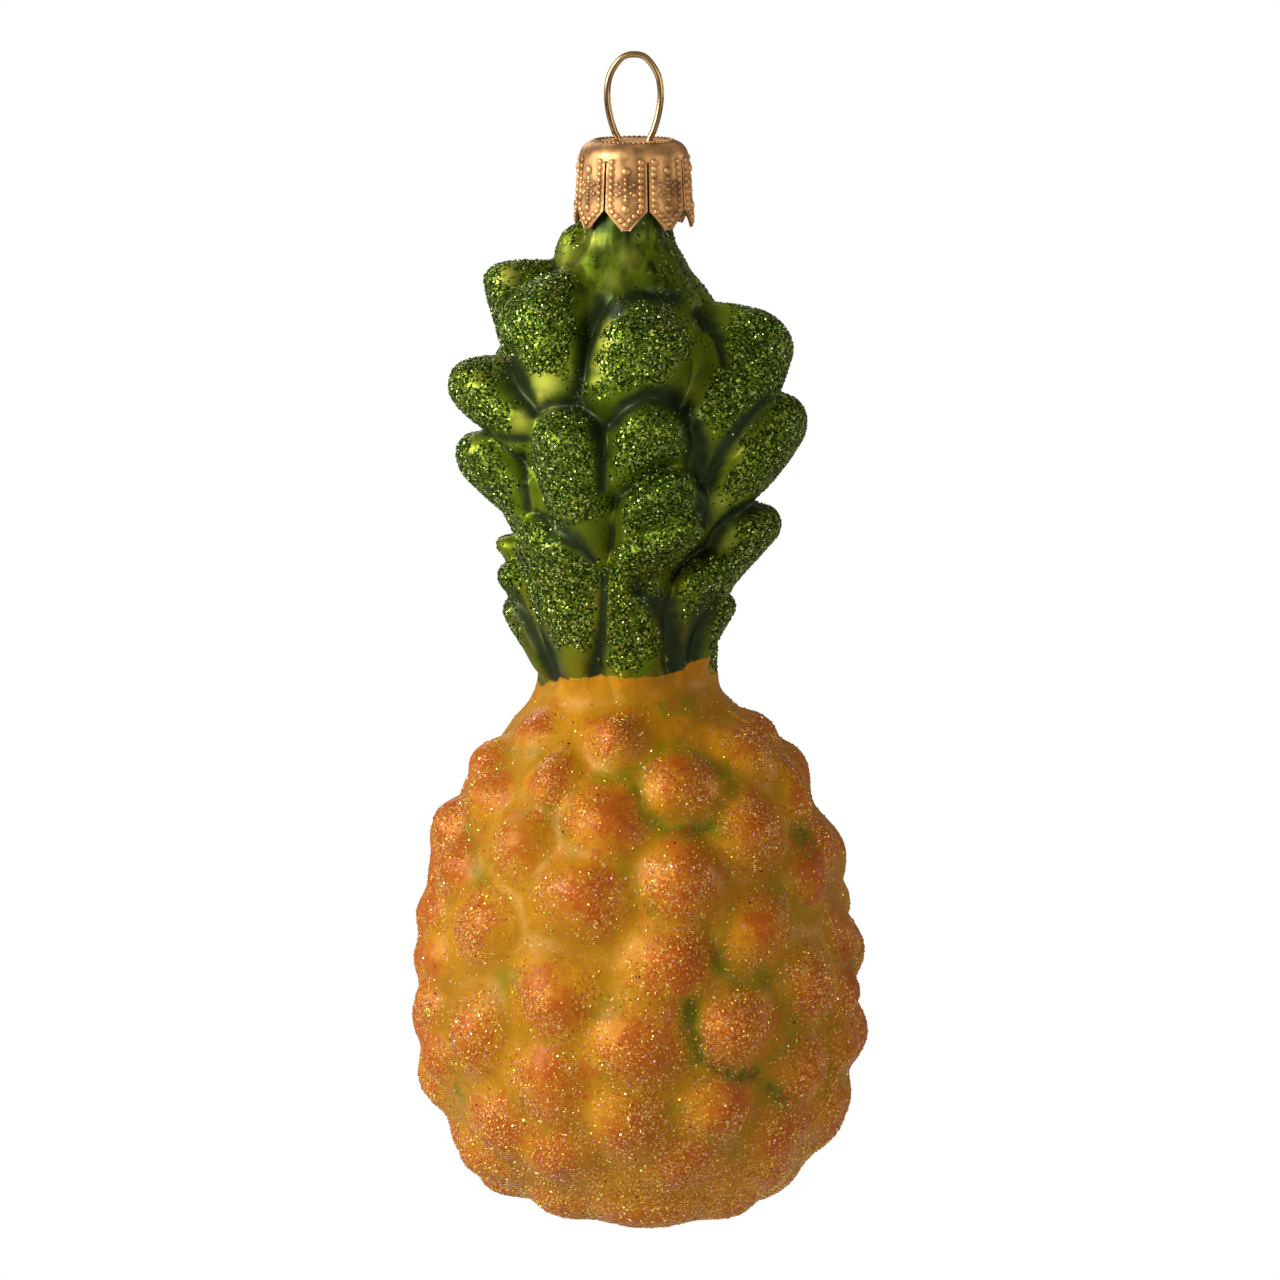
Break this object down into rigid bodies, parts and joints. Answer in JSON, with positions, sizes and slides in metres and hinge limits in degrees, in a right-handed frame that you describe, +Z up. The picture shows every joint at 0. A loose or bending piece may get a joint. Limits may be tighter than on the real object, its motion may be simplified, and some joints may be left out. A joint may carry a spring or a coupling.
{
  "type": "glass pineapple ornament",
  "caption": "Hollow mouth-blown glass tree ornament shaped as a pineapple, with raised eyes, a leafy crown and a stamped metal cap holding a wire hanging loop.",
  "frame": {"origin": "underside of the top of the wire loop, where a hook bears", "axes": "+Z up as the ornament hangs, +X across the loop to the right seen from the front, -Y towards the front"},
  "size_m": [0.0459, 0.0462, 0.1174],
  "materials": {
    "painted_glass": "opaque satin lacquer over blown glass: amber fruit with orange eye tips, green crown, glued glitter",
    "cap_metal": "satin rose-gold anodised sheet, stamped with beads",
    "hanger_metal": "satin gold-plated spring wire"
  },
  "bodies": {
    "root": {"glass_body": "painted_glass", "crown_cap": "cap_metal", "hanger_wire": "hanger_metal"}
  },
  "joints": []
}
